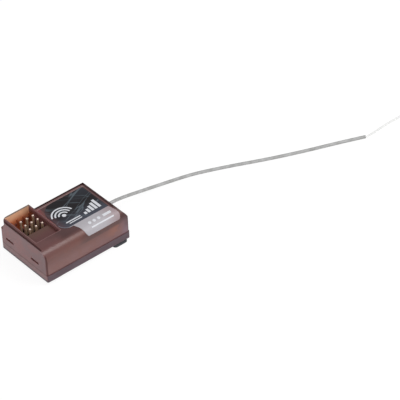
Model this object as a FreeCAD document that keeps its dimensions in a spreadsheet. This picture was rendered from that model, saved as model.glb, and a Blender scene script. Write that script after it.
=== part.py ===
"""Small three channel radio control receiver.

A smoked plastic shell snaps over a darker tray. One end holds an open pocket with a grid of
servo pins, the other end lets out a thin coaxial antenna whose last stretch is bare. A circuit
board with its parts fills the housing, and two strips of foam tape lie under the tray.

Millimetres. The housing's own datum is the front corner of the pin end, level with the underside
of the tray: x runs to the antenna end, y to the back and z up. Every placement shifts this datum,
so that the part stands on z = 0 with the middle of the housing above the origin.
"""
import FreeCAD
import Part
import Sketcher
import math
import os
from types import SimpleNamespace
from FreeCAD import Rotation, Vector

SIZES = [
    ("CaseLength", 35.0, "housing, pin end to antenna end"),
    ("CaseWidth", 25.0, "housing, over the pin pocket"),
    ("CaseHeight", 12.5, "housing, underside of the tray to the flat top"),
    ("MainStep", 0.9, "the electronics half stands this much in from the pocket's back"),
    ("TrayHeight", 3.0, "underside of the tray to the seam"),
    ("TrayFloor", 1.2, "floor of the tray"),
    ("TrayBevel", 0.3, "bevel round the underside of the tray"),
    ("ShellInset", 0.15, "shell stands in from the tray's outline"),
    ("ShellWall", 1.0, "side walls of the shell"),
    ("TopWall", 1.2, "flat top of the shell"),
    ("EndWall", 1.1, "wall of the pin end"),
    ("EdgeRadius", 4.0, "two long rounded edges of the top"),
    ("EndRadius", 4.6, "rounded top edge of the antenna end"),
    ("CornerRadius", 0.6, "upright corners of the housing"),
    ("RimCorner", 2.6, "upright back corner of the pocket's rim"),
    ("FitGap", 0.1, "gap between shell, tray and latches"),
    ("LipThick", 0.6, "locating lip on the tray"),
    ("LipHeight", 0.8, "height of the lip above the seam"),
    ("PocketRim", 0.5, "pocket opening, in from the end wall"),
    ("PocketSpare", 1.79, "pocket, end wall side to the first plug"),
    ("PlugClearance", 0.29, "pocket, last plug to the antenna side"),
    ("WireSpace", 6.29, "pocket, front side to the plugs, over the shelf for their wires"),
    ("ShelfDrop", 1.4, "shelf in front of the plugs, below the housing's top"),
    ("RibGap", 0.49, "pocket, plugs to the key ribs"),
    ("PocketBackWall", 1.2, "wall behind the pocket"),
    ("PocketWall", 0.9, "walls round the pocket, inside the shell"),
    ("StepWall", 0.5, "pocket opening to the step in the housing's back"),
    ("PocketFloor", 7.2, "top of the pocket's floor"),
    ("PocketPlate", 0.8, "thickness of the pocket's floor"),
    ("PocketCorner", 0.5, "upright corners of the pocket"),
    ("RimStep", 0.25, "small step round the pocket's mouth"),
    ("RimInset", 0.4, "the pocket's upper back wall stands in by this much"),
    ("LedgeLevel", 9.0, "ledge on the pocket's back wall"),
    ("PinPitch", 2.54, "pitch of the servo pins"),
    ("PinThick", 0.64, "square pins"),
    ("PinRecess", 0.4, "tips of the pins below the housing's top"),
    ("PinBevel", 0.2, "bevel of the tips"),
    ("PinTail", 1.3, "pin below the board"),
    ("HeaderHeight", 2.5, "plastic header block"),
    ("HeaderGap", 0.2, "gap between the header blocks and the window in the pocket's floor"),
    ("RibThick", 0.5, "key ribs between the plugs"),
    ("RibDepth", 2.4, "key ribs, out of the pocket's back wall"),
    ("RibTop", 9.8, "top of the key ribs"),
    ("BoardBottom", 2.8, "underside of the circuit board"),
    ("BoardThick", 1.0, "circuit board"),
    ("BoardGap", 0.2, "gap round the circuit board"),
    ("BoardHole", 0.5, "radius of the pin holes"),
    ("SolderTip", 0.55, "radius of a solder joint at the pin's tail"),
    ("SolderTaper", 20.0, "degrees by which a solder joint widens towards the board"),
    ("PostRadius", 0.9, "posts under the board"),
    ("PostInset", 1.2, "middle of a post from the board's edges"),
    ("LatchWidth", 3.6, "latch tabs"),
    ("LatchThick", 0.7, "latch tabs"),
    ("LatchTop", 6.3, "top of the latch tabs"),
    ("LatchHook", 0.6, "hook of a latch, into its window"),
    ("LatchFront", 6.55, "housing's front to the middle of the first latch"),
    ("LatchBack", 4.75, "housing's back to the middle of the second latch"),
    ("WindowWidth", 4.2, "latch windows in the end walls"),
    ("WindowHeight", 0.9, "latch windows in the end walls"),
    ("WindowLevel", 5.75, "middle of the latch windows"),
    ("AntennaZ", 7.0, "antenna exit, above the tray's underside"),
    ("CableRadius", 0.6, "antenna cable over its jacket"),
    ("CoreRadius", 0.35, "bare end of the antenna"),
    ("SleeveRadius", 0.95, "grommet in the end wall"),
    ("FlangeRadius", 1.3, "flanges of the grommet"),
    ("FlangeThick", 0.5, "flanges of the grommet"),
    ("ClipLength", 1.8, "clip that holds the cable on the board"),
    ("ClipWidth", 2.2, "clip that holds the cable on the board"),
    ("ClipHeight", 1.9, "clip that holds the cable on the board"),
    ("ClipSetback", 8.1, "middle of the clip to the grommet"),
    ("LeadRun", 1.7, "straight lead next to the clip and the grommet"),
    ("LabelThick", 0.12, "label film"),
    ("LabelGap", 0.7, "pocket opening to the label"),
    ("LabelEnd", 4.0, "label to the housing's antenna end"),
    ("LabelFront", 0.4, "lower edge of the label's wide band"),
    ("LabelStep", 5.6, "lower edge of the label's narrow half"),
    ("LabelBack", 5.1, "label to the housing's back"),
    ("LabelCorner", 1.0, "small corners of the label"),
    ("LabelSweep", 3.2, "large corner of the label's narrow half"),
    ("LabelShoulder", 6.0, "large back corner of the label, at its pin side"),
    ("BandStart", 4.0, "label's pin side to its wide band"),
    ("BandSlant", 1.8, "slant of the wide band's left edge"),
    ("EndSlant", 1.3, "slant of the wide band's right edge"),
    ("TapeThick", 1.0, "foam tape strips"),
    ("TapeWidth", 5.8, "foam tape strips"),
    ("TapeCorner", 1.2, "corners of the strips"),
    ("TapeEnd", 0.9, "strip of the antenna end, in from that end"),
    ("TapeLeft", 1.8, "strip of the pin end, its left edge"),
    ("TapeInset", 1.2, "strip of the pin end, in from the front and back"),
    ("PartGap", 0.4, "least gap between the larger parts on the board"),
    ("ShieldLength", 8.8, "radio's shield"),
    ("ShieldWidth", 7.0, "radio's shield"),
    ("ShieldHeight", 2.2, "radio's shield"),
    ("ShieldSheet", 0.2, "metal of the shield"),
    ("RadioSide", 4.0, "radio chip"),
    ("RadioHeight", 0.9, "radio chip"),
    ("ChipFront", 4.6, "board's front edge to the middle of the processor"),
    ("ChipLength", 6.5, "processor body"),
    ("ChipWidth", 4.4, "processor body"),
    ("ChipHeight", 1.1, "processor body, board to top"),
    ("ChipStandoff", 0.1, "gap under the processor body"),
    ("LeadPitch", 0.65, "processor leads"),
    ("LeadWidth", 0.25, "processor leads"),
    ("LeadReach", 1.0, "processor leads, out of the body"),
    ("LeadThick", 0.15, "processor leads"),
    ("CrystalLength", 3.2, "crystal"),
    ("CrystalWidth", 2.5, "crystal"),
    ("CrystalHeight", 0.9, "crystal"),
    ("CanEnd", 2.4, "board's antenna end to the middle of the reservoir capacitor"),
    ("CanBack", 3.8, "board's back edge to the middle of the reservoir capacitor"),
    ("CanRadius", 2.0, "reservoir capacitor"),
    ("CanHeight", 4.6, "reservoir capacitor, above its base"),
    ("CanBase", 4.4, "base of the reservoir capacitor"),
    ("CanBaseHeight", 0.7, "base of the reservoir capacitor"),
    ("RegulatorEnd", 3.2, "board's antenna end to the middle of the voltage regulator"),
    ("RegulatorFront", 4.1, "board's front edge to the middle of the voltage regulator"),
    ("RegulatorLength", 2.5, "voltage regulator"),
    ("RegulatorWidth", 4.5, "voltage regulator"),
    ("RegulatorHeight", 1.5, "voltage regulator"),
    ("LegReach", 0.9, "legs and tab of the regulator, out of its body"),
    ("LegWidth", 0.4, "legs of the regulator"),
    ("LegThick", 0.4, "legs and tab of the regulator"),
    ("TabWidth", 1.8, "tab of the regulator"),
    ("CoilGap", 0.2, "antenna clip to the filter coil"),
    ("CoilSide", 2.6, "filter coil"),
    ("CoilHeight", 1.4, "filter coil"),
    ("SmallLength", 1.6, "small capacitors and resistors"),
    ("SmallWidth", 0.8, "small capacitors and resistors"),
    ("SmallStart", 2.24, "board's pin end to the middle of the first small part"),
    ("SmallEdge", 1.12, "board's front edge to the middle of the first small part"),
    ("SmallColumn", 3.04, "small parts, middle to middle along the housing"),
    ("SmallRow", 1.52, "small parts, middle to middle across the housing"),
    ("CapacitorHeight", 0.8, "small capacitors"),
    ("ResistorHeight", 0.5, "small resistors"),
    ("LampBase", 0.5, "carrier of the status lamp"),
    ("LensHeight", 0.35, "lens of the status lamp"),
    ("LampRim", 0.08, "carrier of the status lamp, beside its lens"),
]

doc = FreeCAD.newDocument("rc_receiver")
sheet = doc.addObject("Spreadsheet::Sheet", "Sizes")


class Term:
    """A size, or sum of sizes, that knows its value and its text for the expression engine."""

    def __init__(self, value, text):
        self.value = value
        self.text = text

    def with_other(self, other, value, sign):
        return Term(value, f"({self.text} {sign} {other.text})")

    def __add__(self, other):
        other = term(other)
        return self.with_other(other, self.value + other.value, "+")

    def __sub__(self, other):
        other = term(other)
        return self.with_other(other, self.value - other.value, "-")

    def __mul__(self, other):
        other = term(other)
        return self.with_other(other, self.value * other.value, "*")

    def __truediv__(self, other):
        other = term(other)
        return self.with_other(other, self.value / other.value, "/")


def term(value):
    """Plain numbers become terms too."""
    return value if isinstance(value, Term) else Term(float(value), str(value))


s = SimpleNamespace()
for row, (alias, value, note) in enumerate(SIZES, start=1):
    sheet.set(f"A{row}", str(value))
    sheet.setAlias(f"A{row}", alias)
    sheet.set(f"B{row}", note)
    setattr(s, alias, Term(value, f"Sizes.{alias}"))
doc.recompute()

# Edges and levels that several pieces share. OVER is how far a cutting form runs past its piece.
main_width = s.CaseWidth - s.MainStep
shell_right = s.CaseLength - s.ShellInset
shell_back = main_width - s.ShellInset
half_grid = s.PinPitch * 1.5
pocket_left = s.EndWall + s.PocketRim
pin_x = pocket_left + s.PocketSpare + half_grid
pocket_right = pin_x + half_grid + s.PlugClearance
pocket_back = s.CaseWidth - s.PocketBackWall
pin_y = pocket_back - s.RibDepth - s.RibGap - half_grid
well_front = pin_y - half_grid - s.PlugClearance
pocket_front = pin_y - half_grid - s.WireSpace
shelf_level = s.CaseHeight - s.ShelfDrop
pocket_end = pocket_right + s.PocketWall
step_right = pocket_right + s.StepWall
plate_bottom = s.PocketFloor - s.PocketPlate
lip_left = s.EndWall + s.FitGap
lip_right = shell_right - s.ShellWall - s.FitGap
lip_front = s.ShellInset + s.ShellWall + s.FitGap
lip_back = shell_back - s.ShellWall - s.FitGap
board_left = lip_left + s.LatchThick + s.BoardGap
board_right = lip_right - s.LatchThick - s.BoardGap
board_front = lip_front + s.LipThick + s.BoardGap
board_back = lip_back - s.LipThick - s.BoardGap
board_top = s.BoardBottom + s.BoardThick
antenna_y = main_width / 2
wall_in = shell_right - s.ShellWall
clip_x = wall_in - s.FlangeThick - s.ClipSetback
shield_x = pocket_end + s.PartGap + s.ShieldLength / 2
shield_y = board_back - s.PartGap - s.ShieldWidth / 2
chip_x = pocket_end + s.ChipLength / 2
chip_y = board_front + s.ChipFront
coil_x = shield_x + s.ShieldLength / 2 + s.PartGap * 2 + s.CoilSide / 2
coil_y = antenna_y + s.ClipWidth / 2 + s.CoilGap + s.CoilSide / 2
label_left = pocket_right + s.LabelGap
label_right = s.CaseLength - s.LabelEnd
label_back = s.CaseWidth - s.LabelBack
band_left = label_left + s.BandStart
OVER = 1
above = s.CaseHeight + OVER
UP = Rotation()
ALONG_X = Rotation(Vector(0, 1, 0), 90)


def bind(item, prop, value):
    item.setExpression(prop, term(value).text)


def place(item, x, y, z, turn=UP):
    """Put an object's own origin at a point given from the housing's datum."""
    item.Placement = FreeCAD.Placement(Vector(), turn)
    bind(item, ".Placement.Base.x", term(x) - s.CaseLength / 2)
    bind(item, ".Placement.Base.y", term(y) - s.CaseWidth / 2)
    bind(item, ".Placement.Base.z", term(z) + s.TapeThick)
    return item


def box(name, x0, x1, y0, y1, z0, z1):
    """Plain block between two corners."""
    item = doc.addObject("Part::Box", name)
    bind(item, "Length", term(x1) - x0)
    bind(item, "Width", term(y1) - y0)
    bind(item, "Height", term(z1) - z0)
    return place(item, x0, y0, z0)


def box_at(name, x, y, z0, length, width, height):
    """Plain block around a point of the plan, from a level up."""
    half_x = term(length) / 2
    half_y = term(width) / 2
    return box(name, x - half_x, x + half_x, y - half_y, y + half_y, z0, z0 + height)


def rod(name, x, y, z, radius, length, turn=UP):
    """Cylinder from a point, upright or along x."""
    item = doc.addObject("Part::Cylinder", name)
    bind(item, "Radius", radius)
    bind(item, "Height", length)
    return place(item, x, y, z, turn)


def join(kind, name, shapes):
    """Fuse, common or compound of several objects."""
    item = doc.addObject(kind, name)
    setattr(item, "Links" if kind == "Part::Compound" else "Shapes", shapes)
    return item


def fuse(name, *shapes):
    return join("Part::MultiFuse", name, list(shapes))


def common(name, *shapes):
    return join("Part::MultiCommon", name, list(shapes))


def group(name, shapes):
    return join("Part::Compound", name, shapes)


def cut(name, base, tool):
    item = doc.addObject("Part::Cut", name)
    item.Base = base
    item.Tool = tool
    return item


def outline(body, name, points, plane="XY_Plane", level=0):
    """Closed sketch on a body's own plane, each corner bound to the sheet's sizes."""
    sketch = body.newObject("Sketcher::SketchObject", name)
    support = next(item for item in body.Origin.OriginFeatures if item.Role == plane)
    sketch.AttachmentSupport = [(support, "")]
    sketch.MapMode = "FlatFace"
    bind(sketch, ".AttachmentOffset.Base.z", level)
    points = [(term(x), term(y)) for x, y in points]
    spots = [Vector(x.value, y.value, 0) for x, y in points]
    for start, end in zip(spots, spots[1:] + spots[:1]):
        sketch.addGeometry(Part.LineSegment(start, end), False)
    for index in range(len(spots)):
        following = (index + 1) % len(spots)
        sketch.addConstraint(Sketcher.Constraint("Coincident", index, 2, following, 1))
    for index, corner in enumerate(points):
        for axis, kind, value in ((-2, "DistanceX", corner[0]), (-1, "DistanceY", corner[1])):
            if value.value == 0:
                sketch.addConstraint(Sketcher.Constraint("PointOnObject", index, 1, axis))
            else:
                key = sketch.addConstraint(Sketcher.Constraint(kind, -1, 1, index, 1, value.value))
                bind(sketch, f"Constraints[{key}]", value)
    return sketch


def rectangle(x0, x1, y0, y1):
    return [(x0, y0), (x1, y0), (x1, y1), (x0, y1)]


def new_body(name):
    return doc.addObject("PartDesign::Body", name)


def pad(body, name, sketch, length):
    feature = body.newObject("PartDesign::Pad", name)
    feature.Profile = sketch
    bind(feature, "Length", length)
    doc.recompute()
    return feature


def pocket(body, name, sketch, depth):
    before = body.Shape.Volume
    feature = body.newObject("PartDesign::Pocket", name)
    feature.Profile = sketch
    bind(feature, "Length", depth)
    doc.recompute()
    if body.Shape.Volume >= before - 1e-6:
        raise RuntimeError(f"{name} cuts nothing")
    return feature


def dress(body, name, kind, amount, picked):
    """Fillet or chamfer on the edges of the body for which picked(edge) is true."""
    base = body.Tip
    edges = [f"Edge{n}" for n, edge in enumerate(base.Shape.Edges, start=1) if picked(edge)]
    if not edges:
        raise RuntimeError(f"{name} found no edges")
    feature = body.newObject(f"PartDesign::{kind}", name)
    feature.Base = (base, edges)
    bind(feature, "Radius" if kind == "Fillet" else "Size", amount)
    doc.recompute()
    return feature


def spans(edge, axis):
    """True for a straight edge that runs along one axis."""
    if not isinstance(edge.Curve, Part.Line):
        return False
    ends = [vertex.Point for vertex in edge.Vertexes]
    step = ends[1] - ends[0]
    return abs(step[axis]) > 0.999 * step.Length


def middle(edge):
    return edge.CenterOfMass


def same(a, b):
    return abs(a - b) < 1e-4


def upright(edge):
    return spans(edge, 2)


def at_level(level):
    """Picks the level edges at one height of the body's own frame."""
    return lambda edge: same(edge.BoundBox.ZMin, level.value) and same(edge.BoundBox.ZMax, level.value)


def block(name, x, y, z, length, width, height, rounds=()):
    """Body padded from a rectangle with its low corner at a point, then rounded or bevelled."""
    body = new_body(name)
    sketch = outline(body, f"{name}_outline", rectangle(0, length, 0, width))
    pad(body, f"{name}_pad", sketch, height)
    for number, (kind, amount, picked) in enumerate(rounds, start=1):
        dress(body, f"{name}_{kind.lower()}{number}", kind, amount, picked)
    return place(body, x, y, z)


def block_at(name, x, y, z, length, width, height, rounds=()):
    """The same body with its middle above a point of the plan."""
    return block(name, x - length / 2, y - width / 2, z, length, width, height, rounds)


NODES = []


def node(name, item):
    """Name a finished piece, which gets a file of its own."""
    item.Label = name
    NODES.append(item)
    return item


def rounded_form(name, x0, x1, y0, y1, z0, z1, edge, end, corner):
    """Housing form: three rounded top edges and rounded upright corners, square at the pin end.

    It is the common part of three blocks, one rounded along the length, one across the antenna
    end and one at the corners, so that neither radius limits the other.
    """
    length = term(x1) - x0
    width = term(y1) - y0
    height = term(z1) - z0

    def top_long(item):
        return spans(item, 0) and same(middle(item).z, height.value)

    def top_end(item):
        return spans(item, 1) and same(middle(item).z, height.value) and same(middle(item).x, length.value)

    along = block(f"{name}_along", x0, y0, z0, length, width, height, [("Fillet", edge, top_long)])
    across = block(f"{name}_across", x0, y0, z0, length, width, height, [("Fillet", end, top_end)])
    plan = block(f"{name}_plan", x0, y0, z0, length, width, height, [("Fillet", corner, upright)])
    return common(name, along, across, plan)


def latch_places():
    """Centre line of each latch across the housing."""
    return [s.LatchFront, s.CaseWidth - s.LatchBack]


def plug_edges():
    """Boundaries between the servo plugs, along the housing."""
    return [pin_x + s.PinPitch * (n - 1.5) for n in range(4)]


def pin_places():
    """Plan places of the pins: three channels along the housing, three contacts across it."""
    return [[(pin_x + s.PinPitch * (channel - 1), pin_y + s.PinPitch * (contact - 1))
             for channel in range(3)] for contact in range(3)]


def make_shell():
    """Upper shell with the pin pocket, latch windows and antenna hole."""
    outer = rounded_form("shell_form", 0, shell_right, s.ShellInset, shell_back, s.TrayHeight,
                         s.CaseHeight, s.EdgeRadius, s.EndRadius, s.CornerRadius)
    middle_y = s.CaseWidth / 2
    rim_back = s.CaseWidth - s.RimInset

    def back_left(edge):
        return upright(edge) and same(middle(edge).x, 0) and middle(edge).y > 1

    rim = block("pocket_rim", 0, middle_y, s.TrayHeight, step_right, rim_back - middle_y,
                s.CaseHeight - s.TrayHeight, [("Fillet", s.RimCorner, back_left)])
    bulge = block("pocket_bulge", 0, middle_y, s.TrayHeight, step_right, s.CaseWidth - middle_y,
                  s.LedgeLevel - s.TrayHeight, [("Fillet", s.CornerRadius, back_left)])
    solid = fuse("shell_solid", outer, rim, bulge)

    inside = rounded_form("cavity_form", s.EndWall, shell_right - s.ShellWall,
                          s.ShellInset + s.ShellWall, shell_back - s.ShellWall, s.TrayHeight,
                          s.CaseHeight - s.TopWall, s.EdgeRadius - s.ShellWall,
                         s.EdgeRadius - s.ShellWall, s.CornerRadius / 2)
    well = box("well_walls", 0, pocket_end, well_front - s.PocketWall, s.CaseWidth, plate_bottom, above)
    shelf = box("shelf_walls", 0, pocket_end, pocket_front - s.PocketWall, well_front,
                shelf_level - s.PocketPlate, above)
    cavity = cut("cavity", inside, fuse("pocket_walls", well, shelf))
    below = box("below_pocket", s.EndWall, step_right - s.ShellWall, pocket_front,
                s.CaseWidth - s.ShellWall, s.TrayHeight, plate_bottom)

    across = pocket_right - pocket_left
    deep = block("well_opening", pocket_left, well_front, s.PocketFloor, across,
                 pocket_back - well_front, above - s.PocketFloor, [("Fillet", s.PocketCorner, upright)])
    shallow = block("shelf_opening", pocket_left, pocket_front, shelf_level, across,
                    well_front - pocket_front + s.PocketCorner * 2, above - shelf_level,
                    [("Fillet", s.PocketCorner, upright)])
    mouth = box("pocket_mouth", pocket_left - s.RimStep, pocket_right + s.RimStep,
                pocket_front - s.RimStep, pocket_back, s.CaseHeight - s.RimStep, above)
    reach = half_grid + s.HeaderGap
    window = box("header_window", pin_x - reach, pin_x + reach, pin_y - reach, pin_y + reach,
                 plate_bottom - OVER, s.PocketFloor + OVER)
    hole = rod("antenna_hole", shell_right - s.ShellWall * 2, antenna_y, s.AntennaZ,
               s.SleeveRadius, s.ShellWall * 3, ALONG_X)
    cuts = [cavity, below, deep, shallow, mouth, window, hole]
    for number, y in enumerate(latch_places(), start=1):
        low = s.WindowLevel - s.WindowHeight / 2
        high = s.WindowLevel + s.WindowHeight / 2
        front = y - s.WindowWidth / 2
        back = y + s.WindowWidth / 2
        cuts.append(box(f"pin_end_window{number}", s.EndWall * -1, s.EndWall + s.FitGap / 2,
                        front, back, low, high))
        cuts.append(box(f"antenna_end_window{number}", shell_right - s.ShellWall - s.FitGap / 2,
                        s.CaseLength + OVER, front, back, low, high))
    hollow = cut("shell_hollow", solid, fuse("shell_cuts", *cuts))

    ribs = [box(f"key_rib{n}", x - s.RibThick / 2, x + s.RibThick / 2, pocket_back - s.RibDepth,
                pocket_back + s.RimInset, s.PocketFloor - s.PocketPlate / 2, s.RibTop)
            for n, x in enumerate(plug_edges(), start=1)]
    return node("upper_shell", fuse("shell", hollow, *ribs))


def make_tray():
    """Lower tray: stepped outline, hollow, with a lip, posts and four latch tabs."""
    body = new_body("tray_body")
    points = [(0, 0), (s.CaseLength, 0), (s.CaseLength, main_width),
              (step_right, main_width), (step_right, s.CaseWidth), (0, s.CaseWidth)]
    pad(body, "tray_pad", outline(body, "tray_outline", points), s.TrayHeight)

    def corner_at(x):
        return lambda edge: upright(edge) and same(middle(edge).x, x.value)

    dress(body, "tray_corners", "Fillet", s.CornerRadius,
          lambda edge: corner_at(s.CaseLength)(edge) or corner_at(term(0))(edge))
    dress(body, "tray_bevel", "Chamfer", s.TrayBevel, at_level(term(0)))
    lip = outline(body, "lip_outline", rectangle(lip_left, lip_right, lip_front, lip_back),
                  level=s.TrayHeight)
    pad(body, "lip_pad", lip, s.LipHeight)
    dress(body, "lip_corners", "Fillet", s.CornerRadius / 2, corner_at(lip_right))
    recess = outline(body, "recess_outline", rectangle(
        lip_left + s.LipThick, lip_right - s.LipThick, lip_front + s.LipThick, lip_back - s.LipThick),
        level=s.TrayHeight + s.LipHeight)
    pocket(body, "tray_recess", recess, s.TrayHeight + s.LipHeight - s.TrayFloor)
    place(body, 0, 0, 0)

    posts = []
    for x in (board_left + s.PostInset, board_right - s.PostInset):
        for y in (board_front + s.PostInset, board_back - s.PostInset):
            posts.append(rod(f"board_post{len(posts) + 1}", x, y, s.TrayFloor / 2, s.PostRadius,
                             s.BoardBottom - s.TrayFloor / 2))
    tabs = []
    hook_low = s.WindowLevel - s.WindowHeight / 2 + s.FitGap
    for y in latch_places():
        front = y - s.LatchWidth / 2
        back = y + s.LatchWidth / 2
        for outward, root in ((-1, lip_left), (1, lip_right)):
            count = len(tabs) + 1
            inner = root - s.LatchThick * outward
            left, right = sorted((root, inner), key=lambda item: item.value)
            tabs.append(box(f"latch_tab{count}", left, right, front, back, s.TrayFloor / 2, s.LatchTop))
            tabs.append(latch_hook(f"latch_hook{count}", outward, root, front, hook_low))
    return node("base_tray", fuse("tray", body, *posts, *tabs))


def latch_hook(name, outward, root, front, low):
    """Ramped hook on a tab: flat underneath, sloping away to the top; outward is its way along x."""
    body = new_body(name)
    height = s.WindowHeight - s.FitGap * 2
    reach = s.LatchHook * outward
    points = [(0, 0), (reach, 0), (reach, height / 3), (0, height)]
    pad(body, f"{name}_pad", outline(body, f"{name}_outline", points, "XZ_Plane"), s.LatchWidth)
    return place(body, root, front + s.LatchWidth, low)


def make_pins():
    """Nine square pins in three rows, one node for each contact row."""
    rows = []
    bottom = s.BoardBottom - s.PinTail
    height = s.CaseHeight - s.PinRecess - bottom

    def tips(edge):
        return at_level(height)(edge) or at_level(term(0))(edge)

    for name, places in zip(("negative_pins", "positive_pins", "signal_pins"), pin_places()):
        pins = [block_at(f"{name}_{n}", x, y, bottom, s.PinThick, s.PinThick, height,
                         [("Chamfer", s.PinBevel, tips)]) for n, (x, y) in enumerate(places, start=1)]
        rows.append(pins)
        node(name, group(f"{name}_row", pins))
    return rows


def make_headers(rows):
    """One plastic block for each channel: three fused octagons, bored by their pins."""
    across_flats = math.cos(math.radians(22.5))
    turn = Rotation(Vector(0, 0, 1), 22.5)
    for channel in range(3):
        cells = []
        for contact, places in enumerate(pin_places()):
            x, y = places[channel]
            cell = doc.addObject("Part::Prism", f"header_cell{channel + 1}{contact + 1}")
            cell.Polygon = 8
            bind(cell, "Circumradius", s.PinPitch / 2 / across_flats)
            bind(cell, "Height", s.HeaderHeight)
            cells.append(place(cell, x, y, board_top, turn))
        pins = fuse(f"header_bores{channel + 1}", *[row[channel] for row in rows])
        name = f"channel_header_{channel + 1}"
        node(name, cut(f"{name}_cut", fuse(f"{name}_block", *cells), pins))


def make_board():
    """Circuit board on the tray's posts, with a hole for each pin."""
    sheet_body = block("board_blank", board_left, board_front, s.BoardBottom,
                       board_right - board_left, board_back - board_front, s.BoardThick,
                       [("Fillet", s.CornerRadius / 2, upright)])
    holes = [rod(f"pin_hole{n}", x, y, s.BoardBottom - OVER, s.BoardHole, s.BoardThick + OVER * 2)
             for n, (x, y) in enumerate(sum(pin_places(), []), start=1)]
    node("circuit_board", cut("board", sheet_body, fuse("board_holes", *holes)))


def make_solder(rows):
    """Solder joint round each pin under the board, which widens towards the board."""
    angles = [math.radians(45 * n + 22.5) for n in range(8)]
    octagon = [(s.SolderTip * math.cos(angle), s.SolderTip * math.sin(angle)) for angle in angles]
    joints = []
    for number, (x, y) in enumerate(sum(pin_places(), []), start=1):
        body = new_body(f"solder_body{number}")
        profile = outline(body, f"solder_outline{number}", octagon)
        feature = pad(body, f"solder_pad{number}", profile, s.PinTail / 2)
        bind(feature, "TaperAngle", s.SolderTaper)
        place(body, x, y, s.BoardBottom - s.PinTail / 2)
        joints.append(cut(f"solder_joint{number}", body, sum(rows, [])[number - 1]))
    node("pin_solder", group("solder_group", joints))


def make_radio():
    """Sheet metal shield on the board with the radio chip and its crystal under it."""
    shell = block_at("shield_outside", shield_x, shield_y, board_top, s.ShieldLength,
                     s.ShieldWidth, s.ShieldHeight, [("Chamfer", s.ShieldSheet, upright),
                                                     ("Chamfer", s.ShieldSheet, at_level(s.ShieldHeight))])
    space = box_at("shield_inside", shield_x, shield_y, board_top - OVER,
                   s.ShieldLength - s.ShieldSheet * 2, s.ShieldWidth - s.ShieldSheet * 2,
                   s.ShieldHeight - s.ShieldSheet + OVER)
    node("radio_shield", cut("shield", shell, space))
    inside = s.ShieldLength / 2 - s.ShieldSheet - s.PartGap / 2
    node("radio_chip", block_at("radio", shield_x - inside + s.RadioSide / 2, shield_y, board_top,
                                s.RadioSide, s.RadioSide, s.RadioHeight,
                                [("Chamfer", s.ShieldSheet / 2, at_level(s.RadioHeight))]))
    node("crystal", block_at("crystal_can", shield_x + inside - s.CrystalLength / 2, shield_y, board_top,
                             s.CrystalLength, s.CrystalWidth, s.CrystalHeight,
                             [("Chamfer", s.CrystalWidth / 8, upright),
                              ("Chamfer", s.CrystalHeight / 6, at_level(s.CrystalHeight))]))


def make_processor():
    """Processor in a flat package with bent leads along both long sides."""
    top = s.ChipHeight - s.ChipStandoff
    body = block_at("chip_body", chip_x, chip_y, board_top + s.ChipStandoff, s.ChipLength,
                    s.ChipWidth, top, [("Chamfer", s.ChipStandoff, at_level(top))])
    leads = []
    for side in (-1, 1):
        root = chip_y + s.ChipWidth * side / 2
        tip = root + s.LeadReach * side
        knee = root + s.LeadReach * side / 2
        for n in range(9):
            x = chip_x + s.LeadPitch * (n - 4)
            left = x - s.LeadWidth / 2
            right = x + s.LeadWidth / 2
            half = s.ChipHeight / 2
            edges = sorted((root - s.LeadThick * side, knee), key=lambda item: item.value)
            foot = sorted((knee - s.LeadThick * side, tip), key=lambda item: item.value)
            bend = sorted((knee - s.LeadThick * side, knee), key=lambda item: item.value)
            name = f"lead{side + 1}_{n}"
            leads.append(box(f"{name}_arm", left, right, *edges, board_top + half,
                             board_top + half + s.LeadThick))
            leads.append(box(f"{name}_drop", left, right, *bend, board_top, board_top + half))
            leads.append(box(f"{name}_foot", left, right, *foot, board_top, board_top + s.LeadThick))
    node("processor", fuse("processor_fused", body, *leads))


def make_power():
    """Reservoir capacitor on its base, voltage regulator and filter coil."""
    can_x = board_right - s.CanEnd
    can_y = board_back - s.CanBack
    base = block_at("capacitor_foot", can_x, can_y, board_top, s.CanBase, s.CanBase, s.CanBaseHeight,
                    [("Chamfer", s.CanRadius / 3, lambda edge: upright(edge) and middle(edge).x > 1)])
    node("capacitor_base", base)
    can = new_body("capacitor_can_body")
    roll = s.CanRadius / 10
    points = [(0, 0), (s.CanRadius, 0), (s.CanRadius, s.CanHeight / 5),
              (s.CanRadius - roll, s.CanHeight / 5 + roll), (s.CanRadius, s.CanHeight / 5 + roll * 2),
              (s.CanRadius, s.CanHeight - roll), (s.CanRadius - roll, s.CanHeight), (0, s.CanHeight)]
    profile = outline(can, "capacitor_profile", points, "XZ_Plane")
    turned = can.newObject("PartDesign::Revolution", "capacitor_turned")
    turned.Profile = profile
    turned.ReferenceAxis = (profile, ["V_Axis"])
    turned.Angle = 360
    doc.recompute()
    place(can, can_x, can_y, board_top + s.CanBaseHeight)
    node("capacitor_can", can)

    x = board_right - s.RegulatorEnd
    y = board_front + s.RegulatorFront
    body = block_at("regulator_body", x, y, board_top, s.RegulatorLength,
                    s.RegulatorWidth, s.RegulatorHeight,
                    [("Chamfer", s.RegulatorHeight / 6, at_level(s.RegulatorHeight))])
    reach = (s.RegulatorLength + s.LegReach) / 2
    legs = [box_at(f"regulator_leg{n}", x + reach, y + s.RegulatorHeight * (n - 2), board_top,
                   s.LegReach, s.LegWidth, s.LegThick) for n in (1, 2, 3)]
    legs.append(box_at("regulator_tab", x - reach, y, board_top, s.LegReach, s.TabWidth, s.LegThick))
    node("voltage_regulator", fuse("regulator", body, *legs))
    node("filter_coil", block_at("coil", coil_x, coil_y, board_top, s.CoilSide, s.CoilSide,
                                 s.CoilHeight, [("Chamfer", s.CoilSide / 6, upright),
                                                ("Chamfer", s.CoilHeight / 7, at_level(s.CoilHeight))]))


def small_grid(column, row):
    """Places of the small parts between the pocket and the board's front corner."""
    return board_left + s.SmallStart + s.SmallColumn * column, board_front + s.SmallEdge + s.SmallRow * row


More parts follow.
